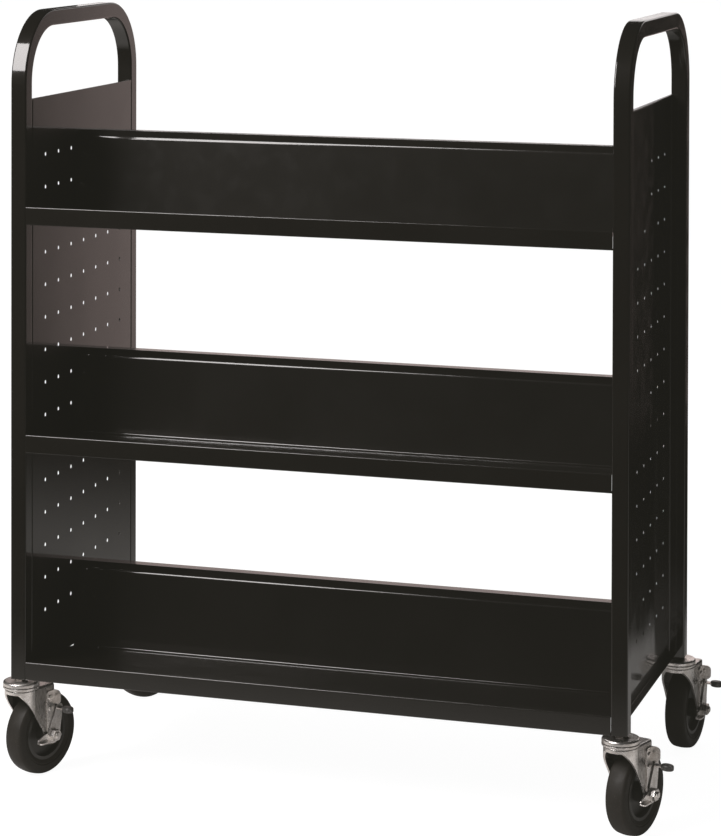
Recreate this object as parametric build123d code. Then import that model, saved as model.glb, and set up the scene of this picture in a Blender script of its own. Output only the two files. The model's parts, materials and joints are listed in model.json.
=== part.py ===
from build123d import *
import os

# Book cart: two bent-tube end frames with perforated end panels carry three
# double-sided sloping shelves, and roll on four swivel casters with brakes.
# Millimetres. +X runs along the shelves, +Y from the front to the back, +Z up.
# The parts are drawn about the middle of the frame. The pedals and the trailing
# wheels reach further one way, so the finished cart is moved until its origin
# is on the floor under the middle of its whole outline.

# Overall size
LENGTH = 965.0
DEPTH = 457.0
HEIGHT = 1181.5

# End frames: one square tube each, bent into an upside-down U
TUBE = 25.0
TUBE_WALL = 1.5
TUBE_CORNER = 2.5
BEND_RADIUS = 98.0
POST_BOTTOM = 156.5
POST_X = (LENGTH - TUBE) / 2
POST_Y = (DEPTH - TUBE) / 2
INNER_X = LENGTH / 2 - TUBE
INNER_Y = DEPTH / 2 - TUBE

# End panels: sheet folded outward at both sides and the bottom, rolled at the top
PANEL_SHEET = 0.9
PANEL_FLANGE = 12.0
PANEL_BEND = 2.5
PANEL_BOTTOM = 162.0
PANEL_TOP = 1048.0
ROLLED_EDGE_R = 2.0
HOLE_R = 3.2
HOLE_PITCH = 50.8
HOLE_COLUMNS = 7
HOLE_ROWS = 15
TOP_HOLE_Z = 957.9

# Shelves: each is one folded sheet, from the front lip to the rear lip
SHELF_SHEET = 1.2
LIP_BEND = 1.5
PAN_BEND = 3.0
BACK_BEND = 8.0
LIP_HEIGHT = 28.0
LIP_RETURN = 12.0
VALLEY_Y = 40.0
RIDGE_Y = 20.0
CROWN_Y = 10.0
CROWN_RISE = 10.0
# name: height of the lip's top edge, fall to the valley, rise to the ridge
SHELVES = {
    "top_shelf": (884.0, 31.0, 90.0),
    "middle_shelf": (534.0, 31.0, 90.0),
    "bottom_shelf": (184.0, 22.5, 97.0),
}

# Casters. In a caster's own frame the swivel axis is Z, the wheel trails
# towards +X, and the brake is on the -Y side.
# name: place of the post along X and Y, and the way the wheel trails at rest
CASTERS = {
    "front_left": (-POST_X, -POST_Y, 69.5),
    "front_right": (POST_X, -POST_Y, 73.0),
    "rear_left": (-POST_X, POST_Y, 60.0),
    "rear_right": (POST_X, POST_Y, 82.5),
}
RUNNING_GAP = 0.05
SIDE_GAP = 0.3

WHEEL_R = 63.5
WHEEL_HALF = 16.0
TREAD_CROWN = 2.3
TRAIL = 42.0
HUB_R = 41.0
HUB_HALF = 13.5
HUB_RIM = 5.0
WEB_HALF = 4.0
BOSS_R = 14.0
BOSS_HALF = 19.0
SLEEVE_R = 8.0
GROOVE_R = 48.0
GROOVE = 1.2
WASHER_R = 17.0

AXLE_R = 5.0
HEX_AF = 16.0
BOLT_HEAD = 6.0
NUT_HEIGHT = 7.0
BOLT_TIP = 3.0

FORK_SHEET = 3.0
FORK_HALF = 25.5
FORK_TOP = 142.0
FORK_EDGE = 3.5
FORK_BOSS_R = 15.0
FORK_REAR = 46.0
FORK_REAR_CORNER = 130.0
ARCH_TOP = 134.5
ARCH_START = -20.0
ARCH_MIDDLE = (5.0, 100.5)
LOWER_RACE_R = 28.0
LOWER_RACE_TOP = 144.5

TOP_RACE_R = 28.0
TOP_RACE_BOTTOM = 146.0
TOP_RACE_TOP = 152.5
TOP_RACE_WALL = 1.6
BALL_R = 2.9
BALL_PITCH_R = 20.0
BALL_COUNT = 14

STEM_R = 6.0
STEM_TOP = 192.0
STEM_HEAD_R = 10.0
STEM_HEAD = 3.5
STEM_NUT_AF = 19.0
SOCKET_LENGTH = 38.0

BRACKET_SHEET = 1.6
BRACKET_BOSS_R = 12.5
BRACKET_TOP = 132.5
BRACKET_FRONT = 29.0
BRACKET_CORNER = 4.0
GUARD_OUT = 13.0
GUARD_BOTTOM = 111.0
GUARD_CORNER = 7.0
RIVET_R = 3.0
RIVET_HEAD_R = 4.0
RIVET_HEAD = 1.6
RIVET_X = 36.0
RIVET_HEIGHTS = (105.0, 122.0)

LEVER_SHEET = 2.0
LEVER_BOSS_R = 13.0
PEDAL_X = 54.0
PEDAL_Z = 102.5
PEDAL_END_R = 7.0
TANG_WIDTH = 10.0
TANG_TIP = 49.0
GRIP_MIDDLE = 47.0
GRIP_LENGTH = 20.0
GRIP_WIDTH = 15.0
GRIP_HEIGHT = 9.0
GRIP_EDGE = 3.0
TOE_X = 11.0
TOE_Z = 59.0
TOE_END_R = 3.5
TOE_LENGTH = 18.0
TOE_OUT = 7.0

# Distances out from the wheel's middle plane, on the brake side
BRACKET_OUTER = FORK_HALF + BRACKET_SHEET
LEVER_INNER = BRACKET_OUTER + SIDE_GAP
LEVER_OUTER = LEVER_INNER + LEVER_SHEET
NUT_INNER = LEVER_OUTER + SIDE_GAP


def block(low, high):
    """Box between two opposite corners."""
    size = [b - a for a, b in zip(low, high)]
    return Pos(*low) * Box(*size, align=(Align.MIN, Align.MIN, Align.MIN))


def side_plate(face, near, far):
    """Extrude a face drawn in X and Z between two distances out on -Y."""
    return extrude(Plane.XZ.offset(near) * face, amount=far - near)


def cross_rod(radius, x, z, near, far):
    """Cylinder along Y, between two distances out on -Y."""
    return side_plate(Pos(x, z) * Circle(radius), near, far)


def hexagon(across_flats):
    return RegularPolygon(across_flats / 2, 6, major_radius=False)


# ---- end frames -------------------------------------------------------------


def end_tube(side):
    """Hollow square tube: post, bend, handle, bend and post."""
    x = side * POST_X
    top = HEIGHT - TUBE / 2
    path = FilletPolyline(
        (x, -POST_Y, POST_BOTTOM),
        (x, -POST_Y, top),
        (x, POST_Y, top),
        (x, POST_Y, POST_BOTTOM),
        radius=BEND_RADIUS,
    )
    start = Pos(x, -POST_Y, POST_BOTTOM)
    hollow = TUBE - 2 * TUBE_WALL
    outer = start * RectangleRounded(TUBE, TUBE, TUBE_CORNER)
    inner = start * RectangleRounded(hollow, hollow, TUBE_CORNER - TUBE_WALL)
    return sweep(outer, path=path) - sweep(inner, path=path)


def pan(low, high, radius):
    """Block with its inner vertical edges and inner bottom edge rounded."""
    solid = block(low, high)
    inner_face = solid.faces().sort_by(Axis.X)[0]
    edges = inner_face.edges().sort_by(Axis.Z)[:-1]
    return fillet(edges, radius)


def panel_holes():
    """Round holes on a square grid, as one cutting tool along X."""
    middle_z = TOP_HOLE_Z - HOLE_PITCH * (HOLE_ROWS - 1) / 2
    grid = GridLocations(HOLE_PITCH, HOLE_PITCH, HOLE_COLUMNS, HOLE_ROWS)
    circles = Sketch() + [Pos(0, middle_z) * spot * Circle(HOLE_R) for spot in grid]
    plane = Plane.YZ.offset(INNER_X - PANEL_SHEET)
    return extrude(plane * circles, amount=3 * PANEL_SHEET)


def end_panel(side):
    """Perforated sheet between the posts, flush with their inner faces."""
    outer_x = INNER_X + PANEL_FLANGE
    skin = PANEL_SHEET
    panel = pan((INNER_X, -INNER_Y, PANEL_BOTTOM), (outer_x, INNER_Y, PANEL_TOP), PANEL_BEND)
    panel -= pan(
        (INNER_X + skin, -INNER_Y + skin, PANEL_BOTTOM + skin),
        (outer_x + skin, INNER_Y - skin, PANEL_TOP + skin),
        PANEL_BEND - skin,
    )
    roll = Rot(90, 0, 0) * Cylinder(ROLLED_EDGE_R, 2 * INNER_Y)
    panel += Pos(INNER_X + ROLLED_EDGE_R, 0, PANEL_TOP - ROLLED_EDGE_R) * roll
    panel -= panel_holes()
    return panel if side > 0 else mirror(panel, about=Plane.YZ)


# ---- shelves ----------------------------------------------------------------


def shelf(lip_top, drop, ridge):
    """Double-sided shelf: lip, sloping pan, back, crown, back, pan and lip."""
    half = [
        (DEPTH / 2 - LIP_RETURN, -LIP_HEIGHT),
        (DEPTH / 2, -LIP_HEIGHT),
        (DEPTH / 2, 0),
        (VALLEY_Y, -drop),
        (RIDGE_Y, ridge),
        (CROWN_Y, ridge + CROWN_RISE),
    ]
    front = [(-y, z) for y, z in half]
    bends = [LIP_BEND, LIP_BEND, PAN_BEND, BACK_BEND, PAN_BEND]
    skin = FilletPolyline(*front, *reversed(half), radius=[*bends, *reversed(bends)])
    section = make_face(offset(skin, SHELF_SHEET, side=Side.RIGHT))
    plane = Plane.YZ.offset(-INNER_X)
    return Pos(0, 0, lip_top) * extrude(plane * section, amount=2 * INNER_X)


# ---- caster parts that stay with the frame ----------------------------------


def stem_socket():
    """Square plug in the foot of a post, bored for the caster's stem."""
    size = TUBE - 2 * TUBE_WALL
    plug = RectangleRounded(size, size, TUBE_CORNER - TUBE_WALL) - Circle(STEM_R)
    return Pos(0, 0, POST_BOTTOM) * extrude(plug, amount=SOCKET_LENGTH)


def stem():
    """Stem with the head that holds the fork up against the races."""
    head_top = FORK_TOP - FORK_SHEET - SIDE_GAP
    bottom = head_top - STEM_HEAD
    shank = Pos(0, 0, bottom) * extrude(Circle(STEM_R), amount=STEM_TOP - bottom)
    shank = chamfer(shank.faces().sort_by(Axis.Z)[-1].edges(), 1.5)
    head = extrude(Circle(STEM_HEAD_R), amount=STEM_HEAD)
    head = fillet(head.faces().sort_by(Axis.Z)[0].edges(), 2)
    return shank + Pos(0, 0, bottom) * head


def stem_nut():
    """Thin hex nut between the top race and the foot of the post."""
    nut = extrude(hexagon(STEM_NUT_AF) - Circle(STEM_R), amount=POST_BOTTOM - TOP_RACE_TOP)
    return Pos(0, 0, TOP_RACE_TOP) * nut


def top_race():
    """Round cup that covers the balls."""
    height = TOP_RACE_TOP - TOP_RACE_BOTTOM
    cup = extrude(Circle(TOP_RACE_R), amount=height)
    cup = fillet(cup.faces().sort_by(Axis.Z)[-1].edges(), 3)
    hollow = extrude(Circle(TOP_RACE_R - TOP_RACE_WALL), amount=height - TOP_RACE_WALL)
    hollow = fillet(hollow.faces().sort_by(Axis.Z)[-1].edges(), 1.5)
    return Pos(0, 0, TOP_RACE_BOTTOM) * (cup - hollow - Cylinder(STEM_R, 3 * height))


def race_balls():
    middle = (LOWER_RACE_TOP + TOP_RACE_TOP - TOP_RACE_WALL) / 2
    spots = PolarLocations(BALL_PITCH_R, BALL_COUNT)
    return [Pos(0, 0, middle) * spot * Sphere(BALL_R) for spot in spots]


# ---- fork -------------------------------------------------------------------


def fork_block(half, top):
    """Round-nosed block, open to the rear, with its top edge rounded."""
    bottom = WHEEL_R - FORK_BOSS_R - 1
    rear = TRAIL + FORK_BOSS_R + 1
    plan = Circle(half) + Pos(rear / 2, 0) * Rectangle(rear, 2 * half)
    solid = Pos(0, 0, bottom) * extrude(plan, amount=top - bottom)
    top_edges = solid.faces().sort_by(Axis.Z)[-1].edges()
    return fillet(top_edges, FORK_EDGE - FORK_HALF + half)


def fork_outline():
    """Side view of the fork: top plate, leg and the round foot at the axle."""
    nose = -FORK_HALF - 1
    top = LOWER_RACE_TOP
    front_foot = (TRAIL - FORK_BOSS_R, WHEEL_R)
    rear_foot = (TRAIL + FORK_BOSS_R, WHEEL_R)
    foot = (TRAIL, WHEEL_R - FORK_BOSS_R)
    arch = (ARCH_START, ARCH_TOP)
    straight = Polyline(arch, (nose, ARCH_TOP), (nose, top), (FORK_REAR, top),
                        (FORK_REAR, FORK_REAR_CORNER), rear_foot)
    return make_face([
        *straight.edges(),
        ThreePointArc(rear_foot, foot, front_foot),
        ThreePointArc(front_foot, ARCH_MIDDLE, arch),
    ])


def fork():
    """Pressed fork with the lower ball race on its top plate."""
    shell = fork_block(FORK_HALF, FORK_TOP)
    shell -= fork_block(FORK_HALF - FORK_SHEET, FORK_TOP - FORK_SHEET)
    shell &= side_plate(fork_outline(), -FORK_HALF - 1, FORK_HALF + 1)
    race_bottom = FORK_TOP - FORK_SHEET
    race = extrude(Circle(LOWER_RACE_R - FORK_SHEET), amount=LOWER_RACE_TOP - race_bottom)
    race += extrude(Pos(0, 0, FORK_SHEET) * Circle(LOWER_RACE_R), amount=LOWER_RACE_TOP - FORK_TOP)
    shell += Pos(0, 0, race_bottom) * race
    shell -= Pos(0, 0, FORK_TOP) * Cylinder(STEM_R + RUNNING_GAP, 4 * FORK_SHEET)
    shell -= cross_rod(AXLE_R, TRAIL, WHEEL_R, -FORK_HALF - 1, FORK_HALF + 1)
    for z in RIVET_HEIGHTS:
        shell -= cross_rod(RIVET_R, RIVET_X, z, 0, FORK_HALF + 1)
    return shell


# ---- wheel ------------------------------------------------------------------


def turned(profile):
    """Turn a profile of radius and width about the wheel's axle."""
    solid = revolve(Plane.XZ * profile, Axis.Z)
    return Pos(TRAIL, 0, WHEEL_R) * Rot(90, 0, 0) * solid


def ring(inner, outer, near, far):
    """Rectangle of radius and width, for turning."""
    return Pos(inner, near) * Rectangle(outer - inner, far - near, align=(Align.MIN, Align.MIN))


def tyre():
    """Solid rubber tyre with a crowned tread and a groove on each side."""
    shoulder = WHEEL_R - TREAD_CROWN
    bead = HUB_R + HUB_RIM
    outline = Polyline(
        (shoulder, WHEEL_HALF), (bead, WHEEL_HALF), (HUB_R, HUB_HALF),
        (HUB_R, -HUB_HALF), (bead, -WHEEL_HALF), (shoulder, -WHEEL_HALF),
    )
    tread = ThreePointArc((shoulder, -WHEEL_HALF), (WHEEL_R, 0), (shoulder, WHEEL_HALF))
    profile = make_face([*outline.edges(), tread])
    profile = fillet(profile.vertices().sort_by(Axis.X)[-2:], 6)
    for side in (-1, 1):
        profile -= Pos(GROOVE_R, side * WHEEL_HALF) * Circle(GROOVE)
    return turned(profile)


def hub():
    """Hub with a boss round the sleeve, a thin web and a rim under the tyre."""
    profile = ring(SLEEVE_R, BOSS_R, -BOSS_HALF, BOSS_HALF)
    profile += ring(BOSS_R, HUB_R - HUB_RIM, -WEB_HALF, WEB_HALF)
    profile += ring(HUB_R - HUB_RIM, HUB_R, -HUB_HALF, HUB_HALF)
    return turned(profile)


def axle_sleeve():
    """Bush that the wheel turns on, held between the fork's legs."""
    half = FORK_HALF - FORK_SHEET - SIDE_GAP
    return turned(ring(AXLE_R + RUNNING_GAP, SLEEVE_R, -half, half))


def thrust_washers():
    """One washer between the hub's boss and each fork leg."""
    near = BOSS_HALF + SIDE_GAP
    far = FORK_HALF - FORK_SHEET
    washer = ring(SLEEVE_R + SIDE_GAP, WASHER_R, near, far)
    return [turned(washer), turned(mirror(washer, about=Plane.XZ))]


def axle_bolt():
    """Hex bolt from the plain side through both legs, bracket and lever."""
    tip = NUT_INNER + NUT_HEIGHT + BOLT_TIP
    bolt = cross_rod(AXLE_R, TRAIL, WHEEL_R, -FORK_HALF, tip)
    bolt = chamfer(bolt.faces().sort_by(Axis.Y)[0].edges(), 1)
    head = Pos(TRAIL, WHEEL_R) * hexagon(HEX_AF)
    return bolt + side_plate(head, -FORK_HALF - BOLT_HEAD, -FORK_HALF)


def axle_nut():
    profile = Pos(TRAIL, WHEEL_R) * (hexagon(HEX_AF) - Circle(AXLE_R))
    return side_plate(profile, NUT_INNER, NUT_INNER + NUT_HEIGHT)


# ---- brake ------------------------------------------------------------------


def brake_bracket():
    """Plate riveted to the leg, with a guard folded out along its rear edge."""
    arm = make_face(Polyline(
        (TRAIL - BRACKET_BOSS_R + 1, WHEEL_R),
        (BRACKET_FRONT, GUARD_BOTTOM),
        (BRACKET_FRONT, BRACKET_TOP),
        (FORK_REAR, BRACKET_TOP),
        (FORK_REAR, GUARD_BOTTOM),
        (TRAIL + BRACKET_BOSS_R - 1, WHEEL_R),
        close=True,
    ))
    front_corner = arm.vertices().sort_by(Axis.Y)[-2:].sort_by(Axis.X)[0]
    arm = fillet(front_corner, BRACKET_CORNER)
    face = arm + Pos(TRAIL, WHEEL_R) * Circle(BRACKET_BOSS_R)
    plate = side_plate(face, FORK_HALF, BRACKET_OUTER)
    guard = block(
        (FORK_REAR - BRACKET_SHEET, -BRACKET_OUTER - GUARD_OUT, GUARD_BOTTOM),
        (FORK_REAR, -FORK_HALF, BRACKET_TOP),
    )
    guard_edges = guard.edges().filter_by(Axis.X).group_by(Axis.Y)[0]
    plate += fillet(guard_edges, GUARD_CORNER)
    plate -= cross_rod(AXLE_R, TRAIL, WHEEL_R, 0, NUT_INNER)
    for z in RIVET_HEIGHTS:
        plate -= cross_rod(RIVET_R, RIVET_X, z, 0, NUT_INNER)
    return plate


def bracket_rivets():
    rivets = []
    for z in RIVET_HEIGHTS:
        shank = cross_rod(RIVET_R, RIVET_X, z, FORK_HALF - FORK_SHEET, BRACKET_OUTER)
        head = cross_rod(RIVET_HEAD_R, RIVET_X, z, BRACKET_OUTER, BRACKET_OUTER + RIVET_HEAD)
        head = fillet(head.faces().sort_by(Axis.Y)[0].edges(), 1)
        rivets.append(shank + head)
    return rivets


def lever_tang(gap):
    """Flat tongue that carries the pedal grip, or the pocket for it."""
    half_width = TANG_WIDTH / 2 + gap
    half_height = LEVER_SHEET / 2 + gap
    return block(
        (PEDAL_X - half_width, -TANG_TIP - gap, PEDAL_Z - half_height),
        (PEDAL_X + half_width, -LEVER_INNER, PEDAL_Z + half_height),
    )


def brake_lever():
    """Cam lever on the axle: pedal arm up to the rear, release toe forward."""
    axle = Pos(TRAIL, WHEEL_R)
    boss = axle * Circle(LEVER_BOSS_R)
    pedal_end = Pos(PEDAL_X, PEDAL_Z) * Circle(PEDAL_END_R)
    toe_end = Pos(TOE_X, TOE_Z) * Circle(TOE_END_R)
    toe_root = axle * Circle(LEVER_BOSS_R - 3)
    face = make_hull(boss.edges() + pedal_end.edges())
    face += make_hull(toe_root.edges() + toe_end.edges())
    lever = side_plate(face, LEVER_INNER, LEVER_OUTER) + lever_tang(0)
    toe_bottom = TOE_Z - TOE_END_R
    toe = block(
        (TOE_X - TOE_END_R, -LEVER_OUTER - TOE_OUT, toe_bottom),
        (TOE_X + TOE_LENGTH, -LEVER_INNER, toe_bottom + LEVER_SHEET),
    )
    toe_corners = toe.edges().filter_by(Axis.Z).group_by(Axis.Y)[0]
    lever += fillet(toe_corners, TOE_END_R)
    return lever - cross_rod(AXLE_R + RUNNING_GAP, TRAIL, WHEEL_R, 0, NUT_INNER + 1)


def pedal_grip():
    """Oval pad pushed onto the lever's tongue."""
    pad = extrude(Ellipse(GRIP_WIDTH / 2, GRIP_LENGTH / 2), amount=GRIP_HEIGHT / 2, both=True)
    pad = fillet(pad.edges().filter_by(GeomType.ELLIPSE), GRIP_EDGE)
    return Pos(PEDAL_X, -GRIP_MIDDLE, PEDAL_Z) * pad - lever_tang(0)


# ---- assembly ---------------------------------------------------------------


def under_every_post(solids):
    """One copy of a set of solids at each post, square with the cart."""
    spots = [Pos(x, y, 0) for x, y, heading in CASTERS.values()]
    return Compound([spot * solid for spot in spots for solid in solids])


def moving_caster_parts():
    """The parts below the swivel, in the caster's own frame."""
    return {
        "fork": fork(),
        "axle_bolt": axle_bolt(),
        "axle_nut": axle_nut(),
        "thrust_washers": Compound(thrust_washers()),
        "tyre": tyre(),
        "hub": hub(),
        "axle_sleeve": axle_sleeve(),
        "brake_bracket": brake_bracket(),
        "bracket_rivets": Compound(bracket_rivets()),
        "brake_lever": brake_lever(),
        "pedal_grip": pedal_grip(),
    }


def all_parts():
    parts = {}
    for name, side in (("left", -1), ("right", 1)):
        parts[f"{name}_end_tube"] = end_tube(side)
        parts[f"{name}_end_panel"] = end_panel(side)
    for name, heights in SHELVES.items():
        parts[name] = shelf(*heights)
    parts["stem_sockets"] = under_every_post([stem_socket()])
    parts["caster_stems"] = under_every_post([stem()])
    parts["stem_nuts"] = under_every_post([stem_nut()])
    parts["top_races"] = under_every_post([top_race()])
    parts["race_balls"] = under_every_post(race_balls())
    caster = moving_caster_parts()
    for corner, (x, y, heading) in CASTERS.items():
        for name, solid in caster.items():
            parts[f"{corner}_{name}"] = Pos(x, y, 0) * Rot(0, 0, heading) * solid
    return parts


def centred(parts):
    """Move the cart so that its origin is under the middle of its outline."""
    boxes = [part.bounding_box() for part in parts.values()]
    across = [edge for box in boxes for edge in (box.min.X, box.max.X)]
    along = [edge for box in boxes for edge in (box.min.Y, box.max.Y)]
    middle_x = (min(across) + max(across)) / 2
    middle_y = (min(along) + max(along)) / 2
    return {name: Pos(-middle_x, -middle_y, 0) * part for name, part in parts.items()}


os.makedirs("parts", exist_ok=True)
for node, shape in centred(all_parts()).items():
    export_step(shape, f"parts/{node}.step")
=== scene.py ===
import json
import math
import bpy
from mathutils import Matrix, Vector

# Looks of the book cart: glossy black powder coat on the steel frame, zinc plated
# casters, moulded rubber and plastic, a pale floor and soft studio light.
# Metres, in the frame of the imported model: +X along the shelves, +Y to the back.

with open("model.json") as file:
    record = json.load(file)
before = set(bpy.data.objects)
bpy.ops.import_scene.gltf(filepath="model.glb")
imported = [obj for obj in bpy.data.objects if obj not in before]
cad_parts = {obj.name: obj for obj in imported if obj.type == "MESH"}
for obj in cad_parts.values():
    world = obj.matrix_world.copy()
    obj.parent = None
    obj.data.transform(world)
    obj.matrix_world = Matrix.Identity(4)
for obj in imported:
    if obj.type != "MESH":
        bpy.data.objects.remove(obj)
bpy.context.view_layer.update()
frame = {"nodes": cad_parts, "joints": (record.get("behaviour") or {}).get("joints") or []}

MM = 0.001
CORNERS = ("front_left", "front_right", "rear_left", "rear_right")
WHITE = (1.0, 1.0, 1.0, 1.0)
BLACK = (0.0, 0.0, 0.0, 1.0)


# ---- node helpers -----------------------------------------------------------

NOISE_RANGE = (0.3, 0.7)  # where most of a noise pattern's values lie
EDGE_START = 0.02  # lean of the softened normal at which an edge begins
BEVEL_SAMPLES = 4


class Finish:
    """A material whose node tree is built up by short calls."""

    def __init__(self, name):
        self.material = bpy.data.materials.new(name)
        self.material.use_nodes = True
        self.tree = self.material.node_tree
        self.shader = self.tree.nodes["Principled BSDF"]
        self.place = self.node("TexCoord").outputs["Object"]

    def put(self, socket, value):
        """Link a socket into an input, or set the input's value."""
        if isinstance(value, bpy.types.NodeSocket):
            self.tree.links.new(value, socket)
        else:
            socket.default_value = value

    def node(self, kind, inputs=None, **settings):
        made = self.tree.nodes.new("ShaderNode" + kind)
        for name, value in settings.items():
            setattr(made, name, value)
        for name, value in (inputs or {}).items():
            self.put(made.inputs[name], value)
        return made

    def set(self, **inputs):
        """Set or link the shader's inputs; an underscore stands for a space."""
        for name, value in inputs.items():
            self.put(self.shader.inputs[name.replace("_", " ")], value)

    def noise(self, scale, detail=2.0, roughness=0.5, place=None):
        """A cloudy grey pattern; scale is about how many lumps fit in a metre."""
        made = self.node("TexNoise", {
            "Vector": place or self.place, "Scale": scale, "Detail": detail, "Roughness": roughness,
        })
        return made.outputs["Fac"]

    def cells(self, scale):
        """A random grey for each cell of a Voronoi pattern."""
        made = self.node("TexVoronoi", {"Vector": self.place, "Scale": scale})
        split = self.node("SeparateColor", {"Color": made.outputs["Color"]})
        return split.outputs["Red"]

    def between(self, value, low, high, out_low=0.0, out_high=1.0):
        """A smooth step from out_low, at low, to out_high, at high."""
        made = self.node("MapRange", {
            "Value": value, "From Min": low, "From Max": high, "To Min": out_low, "To Max": out_high,
        }, interpolation_type="SMOOTHSTEP")
        return made.outputs["Result"]

    def spread(self, noise, low, high):
        """Turn a noise into a value that varies from low to high."""
        return self.between(noise, *NOISE_RANGE, low, high)

    def math(self, operation, first, second=0.0):
        made = self.node("Math", operation=operation)
        self.put(made.inputs[0], first)
        self.put(made.inputs[1], second)
        return made.outputs["Value"]

    def vector_math(self, operation, first, second=(0.0, 0.0, 0.0), output="Vector"):
        made = self.node("VectorMath", operation=operation)
        self.put(made.inputs[0], first)
        self.put(made.inputs[1], second)
        return made.outputs[output]

    def mix(self, share, first, second):
        """A colour: first where share is 0, second where it is 1."""
        made = self.node("Mix", data_type="RGBA")
        self.put(made.inputs["Factor"], share)
        self.put(made.inputs["A"], first)
        self.put(made.inputs["B"], second)
        return made.outputs["Result"]

    def bump(self, height, depth, strength, normal=None):
        made = self.node("Bump", {"Height": height, "Distance": depth, "Strength": strength})
        if normal:
            self.put(made.inputs["Normal"], normal)
        return made.outputs["Normal"]

    def soft_edges(self, radius):
        """The surface normal with every edge rounded off."""
        return self.node("Bevel", {"Radius": radius}, samples=BEVEL_SAMPLES).outputs["Normal"]

    def edge_share(self, soft_normal, full):
        """1 on edges and 0 on flats, from how far the softened normal leans."""
        true_normal = self.node("NewGeometry").outputs["Normal"]
        lean = self.vector_math("DOT_PRODUCT", soft_normal, true_normal, output="Value")
        return self.between(self.math("SUBTRACT", 1.0, lean), EDGE_START, full)


def grey(value, warmth=0.0):
    """Linear grey; warmth takes blue out and half as much green."""
    return (value, value * (1 - warmth / 2), value * (1 - warmth), 1.0)


# ---- materials --------------------------------------------------------------

COAT_DARK = (0.0040, 0.0036, 0.0030, 1.0)
COAT_LIGHT = (0.0056, 0.0051, 0.0042, 1.0)
COAT_TINT = (1.0, 0.96, 0.94, 1.0)
LEG_START = 3.5 * MM  # how far behind the pivot the painted shade and drawn grain of the legs begin
LEG_FLAT = (0.96, 0.99)  # how squarely a face has to look along the axle to be a leg's
GRAIN_STRETCH = (1.0, 1.0, 0.12)


def powder_coat():
    """Glossy near-black powder coat: orange peel, faint waviness, thin at edges."""
    coat = Finish("black_powder_coat")
    soft = coat.soft_edges(0.6 * MM)
    edges = coat.edge_share(soft, full=0.25)
    cloud = coat.noise(scale=9.0, detail=3.0)
    specks = coat.between(coat.noise(scale=900.0, detail=1.0), 0.70, 0.80)
    body = coat.mix(cloud, COAT_DARK, COAT_LIGHT)
    body = coat.mix(coat.math("MULTIPLY", specks, 0.25), body, grey(0.05, 0.2))
    body = coat.mix(coat.math("MULTIPLY", edges, 0.35), body, grey(0.035, 0.2))
    peel = coat.bump(coat.noise(scale=420.0), depth=0.035 * MM, strength=0.5, normal=soft)
    wave = coat.bump(coat.noise(scale=7.0, detail=1.0), depth=0.25 * MM, strength=1.0, normal=peel)
    coat.set(
        Base_Color=body,
        Roughness=coat.spread(cloud, 0.30, 0.42),
        Specular_IOR_Level=0.05,
        Normal=wave,
        Coat_Weight=1.0,
        Coat_Roughness=coat.spread(coat.noise(scale=30.0, detail=3.0), 0.04, 0.11),
        Coat_Normal=wave,
        Coat_Tint=COAT_TINT,
    )
    return coat.material


def zinc(name, pivot=None, wheel=None):
    """Bright zinc plating with a fine spangle. Given the joints of a caster's
    pivot and wheel, the fork's flat legs get painted shade, darker, with an upright grain."""
    plate = Finish(name)
    soft = plate.soft_edges(0.5 * MM)
    edges = plate.edge_share(soft, full=0.3)
    spangle = plate.cells(scale=750.0)
    stain = plate.noise(scale=60.0, detail=4.0, roughness=0.6)
    body = plate.mix(spangle, grey(0.68, 0.07), grey(0.92, 0.05))
    body = plate.mix(plate.between(stain, 0.40, 0.80), body, grey(0.60, 0.12))
    if pivot:
        # painted shade: the fork's flat legs are darkened to grey 0.20, streaked with drawn grain
        body = plate.mix(painted_leg_shade_and_grain(plate, pivot, wheel), body, grey(0.20, 0.12))
    body = plate.mix(edges, body, grey(0.95, 0.03))
    relief = plate.bump(spangle, depth=0.03 * MM, strength=0.6, normal=soft)
    relief = plate.bump(plate.noise(scale=1600.0), depth=0.02 * MM, strength=0.6, normal=relief)
    plate.set(
        Base_Color=body,
        Metallic=1.0,
        Roughness=plate.spread(stain, 0.24, 0.40),
        Normal=relief,
    )
    return plate.material


def painted_leg_shade_and_grain(plate, pivot, wheel):
    """Share of painted shade, streaked with drawn grain: on faces square to the axle,
    behind the fork's nose. It is worked out in the fork's own space, so the
    painted shade and grain turn with the fork."""
    swivel = Vector(pivot["pos_m"])
    trail = Vector(wheel["pos_m"]) - swivel
    trail.z = 0.0
    normal = plate.node("TexCoord").outputs["Normal"]
    facing = plate.vector_math("DOT_PRODUCT", normal, Vector(wheel["axis"]), output="Value")
    arm = plate.vector_math("SUBTRACT", plate.place, swivel)
    behind = plate.vector_math("DOT_PRODUCT", arm, trail.normalized(), output="Value")
    square = plate.between(plate.math("ABSOLUTE", facing), *LEG_FLAT)
    flat = plate.math("MULTIPLY", square, plate.between(behind, LEG_START, LEG_START + MM))
    stretched = plate.vector_math("MULTIPLY", plate.place, GRAIN_STRETCH)
    lines = plate.noise(scale=900.0, detail=3.0, roughness=0.6, place=stretched)
    return plate.math("MULTIPLY", flat, plate.spread(lines, 0.45, 1.0))


def dark_steel():
    """Oiled steel of the stems, nuts and washers."""
    steel = Finish("dark_steel")
    soft = steel.soft_edges(0.4 * MM)
    edges = steel.edge_share(soft, full=0.3)
    smear = steel.noise(scale=140.0, detail=4.0, roughness=0.6)
    body = steel.mix(smear, grey(0.06, 0.15), grey(0.16, 0.12))
    body = steel.mix(edges, body, grey(0.38, 0.06))
    steel.set(
        Base_Color=body,
        Metallic=1.0,
        Roughness=steel.spread(smear, 0.28, 0.48),
        Normal=steel.bump(smear, depth=0.03 * MM, strength=0.5, normal=soft),
    )
    return steel.material


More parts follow.
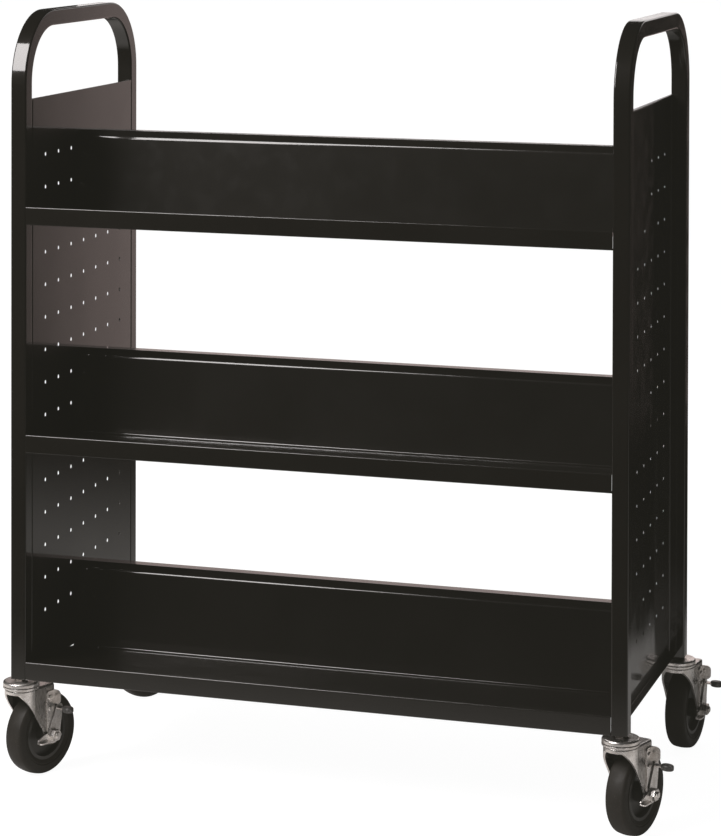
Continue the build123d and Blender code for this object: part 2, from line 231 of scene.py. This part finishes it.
def turned_rings(finish, spin, scale):
    """A fine ring pattern round a wheel's axle."""
    arm = finish.vector_math("SUBTRACT", finish.place, Vector(spin["pos_m"]))
    across = finish.vector_math("CROSS_PRODUCT", arm, Vector(spin["axis"]))
    radius = finish.vector_math("LENGTH", across, output="Value")
    rings = finish.node("CombineXYZ", {"X": radius})
    return finish.noise(scale, detail=3.0, roughness=0.6, place=rings.outputs["Vector"])


def rubber(corner, spin):
    """Moulded black rubber with fine rings and specks of dust."""
    tyre = Finish(f"{corner}_rubber")
    rings = turned_rings(tyre, spin, scale=900.0)
    cloud = tyre.noise(scale=45.0, detail=4.0, roughness=0.6)
    body = tyre.mix(cloud, grey(0.008, 0.35), grey(0.016, 0.35))
    dust = tyre.between(tyre.noise(scale=380.0, detail=3.0), 0.58, 0.78, 0.0, 0.4)
    body = tyre.mix(dust, body, grey(0.05, 0.18))
    relief = tyre.bump(rings, depth=0.08 * MM, strength=0.6)
    relief = tyre.bump(tyre.noise(scale=1500.0), depth=0.04 * MM, strength=0.5, normal=relief)
    tyre.set(
        Base_Color=body,
        Roughness=tyre.spread(cloud, 0.50, 0.66),
        Normal=relief,
        Specular_IOR_Level=0.25,
    )
    return tyre.material


def hub_plastic(corner, spin):
    """Moulded black plastic of the hubs, with fine turned rings."""
    hub = Finish(f"{corner}_hub_plastic")
    rings = turned_rings(hub, spin, scale=600.0)
    body = hub.mix(hub.noise(scale=60.0, detail=3.0), grey(0.014, 0.1), grey(0.026, 0.12))
    relief = hub.bump(rings, depth=0.06 * MM, strength=0.5)
    pores = hub.noise(scale=2200.0, detail=1.0)
    relief = hub.bump(pores, depth=0.02 * MM, strength=0.4, normal=relief)
    hub.set(Base_Color=body, Roughness=0.38, Normal=relief)
    return hub.material


def grip_plastic():
    """Soft black plastic of the pedal grips, scuffed grey."""
    grip = Finish("grip_plastic")
    scuffs = grip.between(grip.noise(scale=260.0, detail=4.0, roughness=0.65), 0.45, 0.75)
    body = grip.mix(scuffs, grey(0.035, 0.06), grey(0.16, 0.06))
    relief = grip.bump(grip.noise(scale=1400.0), depth=0.05 * MM, strength=0.6)
    grip.set(Base_Color=body, Roughness=0.42, Normal=relief)
    return grip.material


def paint(material, *nodes):
    """Give CAD nodes a material in their only slot."""
    for name in nodes:
        mesh = frame["nodes"][name].data
        mesh.materials.clear()
        mesh.materials.append(material)


def paint_cart():
    paint(
        powder_coat(), "left_end_tube", "right_end_tube", "left_end_panel", "right_end_panel",
        "top_shelf", "middle_shelf", "bottom_shelf",
    )
    joints = {joint["name"]: joint for joint in frame["joints"]}
    bright = zinc("bright_zinc")
    dark = dark_steel()
    grip = grip_plastic()
    paint(bright, "top_races", "race_balls")
    paint(dark, "stem_nuts", "caster_stems", "stem_sockets")
    for corner in CORNERS:
        pivot = joints[f"{corner}_swivel_turn"]
        spin = joints[f"{corner}_wheel_spin"]
        paint(zinc(f"{corner}_fork_zinc", pivot, spin), f"{corner}_fork")
        for part in ("axle_bolt", "axle_nut", "brake_bracket", "bracket_rivets", "brake_lever"):
            paint(bright, f"{corner}_{part}")
        for part in ("thrust_washers", "axle_sleeve"):
            paint(dark, f"{corner}_{part}")
        paint(rubber(corner, spin), f"{corner}_tyre")
        paint(hub_plastic(corner, spin), f"{corner}_hub")
        paint(grip, f"{corner}_pedal_grip")


# ---- floor ------------------------------------------------------------------

FLOOR_RADIUS = 60.0
FLOOR_SIDES = 96
FLOOR_GLOW = 0.96
FLOOR_SEEN = grey(0.14)
FLOOR_DARK = grey(0.64, 0.06)
FLOOR_LIGHT = grey(0.70, 0.06)

# Where reflections of the floor fade out, as distances from the origin
FRONT_FADE = (0.45, 1.15)
BACK_FADE = (0.3, 2.2)
# Painted shadow of the cart at the back right, seen only in reflections
CART_SHADOW_X = (0.57, 0.64)
CART_SHADOW_Y = (0.60, 0.90)


def floor_finish():
    """Pale floor. In reflections it darkens with distance in front and behind, and a painted shadow
    of the cart darkens it at the back right.
    """
    floor = Finish("pale_floor")
    path = floor.node("LightPath")
    mottle = floor.noise(scale=3.0, detail=4.0)
    spot = floor.node("SeparateXYZ", {"Vector": floor.place})
    front = floor.between(floor.math("MULTIPLY", spot.outputs["Y"], -1.0), *FRONT_FADE)
    back = floor.between(spot.outputs["Y"], *BACK_FADE)
    right = floor.between(spot.outputs["X"], *CART_SHADOW_X)
    # painted shadow: the cart's shadow at the back right, in reflections of the floor
    corner = floor.math("MULTIPLY", right, floor.between(spot.outputs["Y"], *CART_SHADOW_Y))
    dim = floor.math("MAXIMUM", floor.math("ADD", front, back), corner)
    dim = floor.math("MULTIPLY", dim, path.outputs["Is Glossy Ray"])
    seen = path.outputs["Is Camera Ray"]
    body = floor.mix(seen, floor.mix(mottle, FLOOR_DARK, FLOOR_LIGHT), FLOOR_SEEN)
    floor.set(
        Base_Color=floor.mix(dim, body, BLACK),
        Roughness=0.9,
        Specular_IOR_Level=0.0,
        Emission_Color=WHITE,
        Emission_Strength=floor.math("MULTIPLY", seen, FLOOR_GLOW),
    )
    return floor.material


def make_floor():
    bpy.ops.mesh.primitive_circle_add(vertices=FLOOR_SIDES, radius=FLOOR_RADIUS, fill_type="NGON")
    floor = bpy.context.object
    floor.name = "floor"
    floor.data.materials.append(floor_finish())


# ---- light ------------------------------------------------------------------

WORLD_SEEN = 1.0
WORLD_FILL = 0.35
WORLD_REFLECTED = 0.01

WALL_Y = 2.8
WALL_X = (-2.0, 0.93)
WALL_HEIGHT = 1.2
WALL_FADE = (0.45, 1.15)  # from here to here along X the wall dims to nothing
WALL_GLOW = 0.62
WALL_COLOUR = (1.0, 0.80, 0.76, 1.0)


def make_world():
    """White to the camera, a soft even fill for shading, dim in reflections."""
    world = bpy.data.worlds.new("studio")
    bpy.context.scene.world = world
    world.use_nodes = True
    tree = world.node_tree
    path = tree.nodes.new("ShaderNodeLightPath")
    background = tree.nodes["Background"]
    strength = tree.nodes.new("ShaderNodeMix")
    strength.inputs["A"].default_value = WORLD_FILL
    strength.inputs["B"].default_value = WORLD_SEEN
    tree.links.new(path.outputs["Is Camera Ray"], strength.inputs["Factor"])
    reflected = tree.nodes.new("ShaderNodeMix")
    reflected.inputs["B"].default_value = WORLD_REFLECTED
    tree.links.new(path.outputs["Is Glossy Ray"], reflected.inputs["Factor"])
    tree.links.new(strength.outputs["Result"], reflected.inputs["A"])
    tree.links.new(reflected.outputs["Result"], background.inputs["Strength"])
    background.inputs["Color"].default_value = WHITE


def make_glow_wall():
    """Pale wall behind the cart, seen only in reflections, dimmer to the right."""
    wall = Finish("glow_wall")
    across = wall.node("SeparateXYZ", {"Vector": wall.place}).outputs["X"]
    wall.set(
        Base_Color=BLACK,
        Emission_Color=WALL_COLOUR,
        Emission_Strength=wall.between(across, *WALL_FADE, WALL_GLOW, 0.0),
    )
    bpy.ops.mesh.primitive_plane_add(size=1.0)
    plane = bpy.context.object
    plane.name = "glow_wall"
    low, high = WALL_X
    turn = Matrix.Rotation(math.pi / 2, 4, "X")
    stretch = Matrix.Diagonal((high - low, WALL_HEIGHT, 1.0, 1.0))
    place = Matrix.Translation(((low + high) / 2, WALL_Y, WALL_HEIGHT / 2))
    plane.data.transform(place @ turn @ stretch)
    plane.data.materials.append(wall.material)
    plane.visible_camera = False
    plane.visible_diffuse = False
    plane.visible_shadow = False


def soft_light(name, place, aim, width, height, radiance, colour):
    """Rectangular soft light, given by how bright its face looks."""
    data = bpy.data.lights.new(name, "AREA")
    data.shape = "RECTANGLE"
    data.size = width
    data.size_y = height
    data.energy = radiance * math.pi * width * height
    data.color = colour
    light = bpy.data.objects.new(name, data)
    bpy.context.scene.collection.objects.link(light)
    light.location = place
    turn = (Vector(aim) - Vector(place)).to_track_quat("-Z", "Y")
    light.rotation_euler = turn.to_euler()
    light.visible_camera = False


def make_lights():
    soft_light(
        "key", place=(-1.75, -2.45, 2.95), aim=(-0.1, 0.0, 0.9),
        width=1.7, height=2.3, radiance=15.0, colour=(1.0, 0.96, 0.95),
    )
    soft_light(
        "back_strip", place=(0.0, 3.0, 1.75), aim=(0.0, 0.0, 1.3),
        width=3.6, height=0.9, radiance=1.0, colour=(1.0, 0.95, 0.94),
    )


# ---- camera and display -----------------------------------------------------

# Nearly level, with the picture framed far below the lens axis. Turn, dip and
# roll are in radians, and the shifts are shares of the picture's long side.
CAMERA_PLACE = (1.30140, -4.27653, 1.40729)
CAMERA_TURN = 0.30254
CAMERA_DIP = 0.01688
CAMERA_ROLL = 0.00258
SENSOR = 36.0
LENS = 122.87
SHIFT_RIGHT = 0.00493
SHIFT_DOWN = 0.60301
CLIP_NEAR = 0.05
CLIP_FAR = 200.0

# Black level of each display channel: below zero lifts the blacks
VEIL = (-0.0115, -0.0110, -0.0088)


def make_camera():
    """Camera framed below its lens axis. A view from elsewhere sets the
    quaternion rotation mode, and then the picture is centred again."""
    data = bpy.data.cameras.new("photo_camera")
    data.sensor_width = SENSOR
    data.lens = LENS
    data.clip_start = CLIP_NEAR
    data.clip_end = CLIP_FAR
    camera = bpy.data.objects.new("photo_camera", data)
    bpy.context.scene.collection.objects.link(camera)
    turn = Matrix.Rotation(CAMERA_TURN, 3, "Z")
    tilt = Matrix.Rotation(math.pi / 2 - CAMERA_DIP, 3, "X")
    roll = Matrix.Rotation(CAMERA_ROLL, 3, "Z")
    camera.matrix_world = Matrix.LocRotScale(Vector(CAMERA_PLACE), turn @ tilt @ roll, None)
    # The rotation mode's number is 1 for the photo's view and 0 for a quaternion
    for path, shift in (("shift_x", SHIFT_RIGHT), ("shift_y", -SHIFT_DOWN)):
        driver = data.driver_add(path).driver
        mode = driver.variables.new()
        mode.name = "mode"
        mode.targets[0].id = camera
        mode.targets[0].data_path = "rotation_mode"
        driver.expression = f"{shift} * mode"
    bpy.context.scene.camera = camera


def lift_blacks():
    """Plain display colours, with a slight warm veil over the blacks."""
    view = bpy.context.scene.view_settings
    view.view_transform = "Standard"
    view.use_curve_mapping = True
    view.curve_mapping.black_level = VEIL


paint_cart()
make_floor()
make_world()
make_glow_wall()
make_lights()
make_camera()
lift_blacks()
